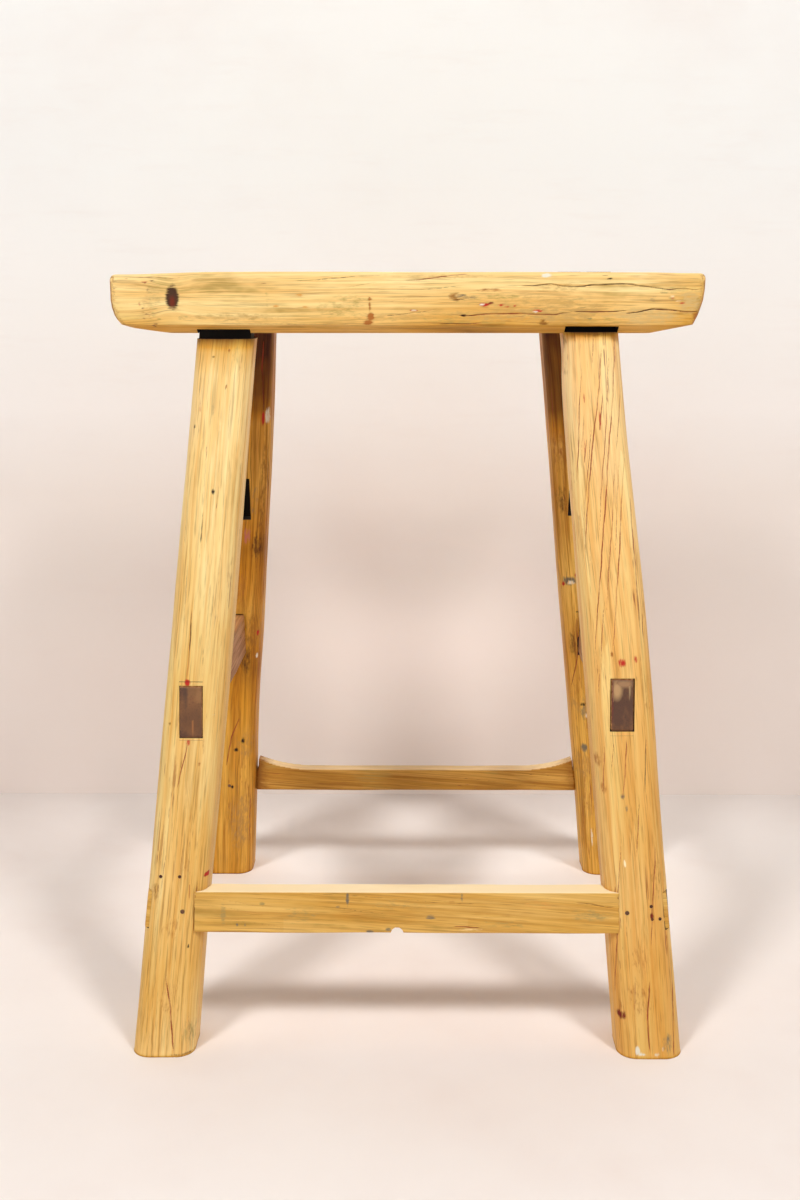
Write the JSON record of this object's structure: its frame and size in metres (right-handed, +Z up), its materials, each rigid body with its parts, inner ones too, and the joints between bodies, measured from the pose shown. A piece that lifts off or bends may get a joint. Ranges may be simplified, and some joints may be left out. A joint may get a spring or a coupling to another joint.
{
  "type": "stool",
  "caption": "Rustic four-legged wooden stool with a thick plank seat, splayed rounded legs, pegged low stretchers and through-tenoned side rails.",
  "frame": {"origin": "on the floor under the middle of the seat", "axes": "+X to the right along the seat, +Y from front to back, +Z up"},
  "size_m": [0.3829, 0.3456, 0.5],
  "materials": {
    "seat_wood": "dry honey-yellow old softwood, worn smooth, with a dark knot, cracks and stains",
    "leg_wood": "dry honey-yellow wood with fine red-brown grain and long cracks",
    "stretcher_wood": "dry honey-yellow wood, slightly rough, worn arrises",
    "rail_wood": "brown wood with dark red-brown end grain",
    "wedge_wood": "pale wood slivers",
    "peg_wood": "dark brown end grain",
    "rusty_iron": "rusted dark brown iron"
  },
  "bodies": {
    "root": {"back_stretcher": "stretcher_wood", "front_stretcher": "stretcher_wood", "leg_back_left": "leg_wood", "leg_back_right": "leg_wood", "leg_front_left": "leg_wood", "leg_front_right": "leg_wood", "old_nails_front_left": "rusty_iron", "old_nails_front_right": "rusty_iron", "rail_wedge_front_left_lower": "wedge_wood", "rail_wedge_front_left_upper": "wedge_wood", "rail_wedge_front_right": "wedge_wood", "seat": "seat_wood", "seat_wedge_back_left": "wedge_wood", "seat_wedge_back_right": "wedge_wood", "seat_wedge_front_left": "wedge_wood", "seat_wedge_front_right": "wedge_wood", "side_rail_left": "rail_wood", "side_rail_right": "rail_wood", "stretcher_peg_back_left": "peg_wood", "stretcher_peg_back_right": "peg_wood", "stretcher_peg_front_left": "peg_wood", "stretcher_peg_front_right": "peg_wood"}
  },
  "joints": []
}
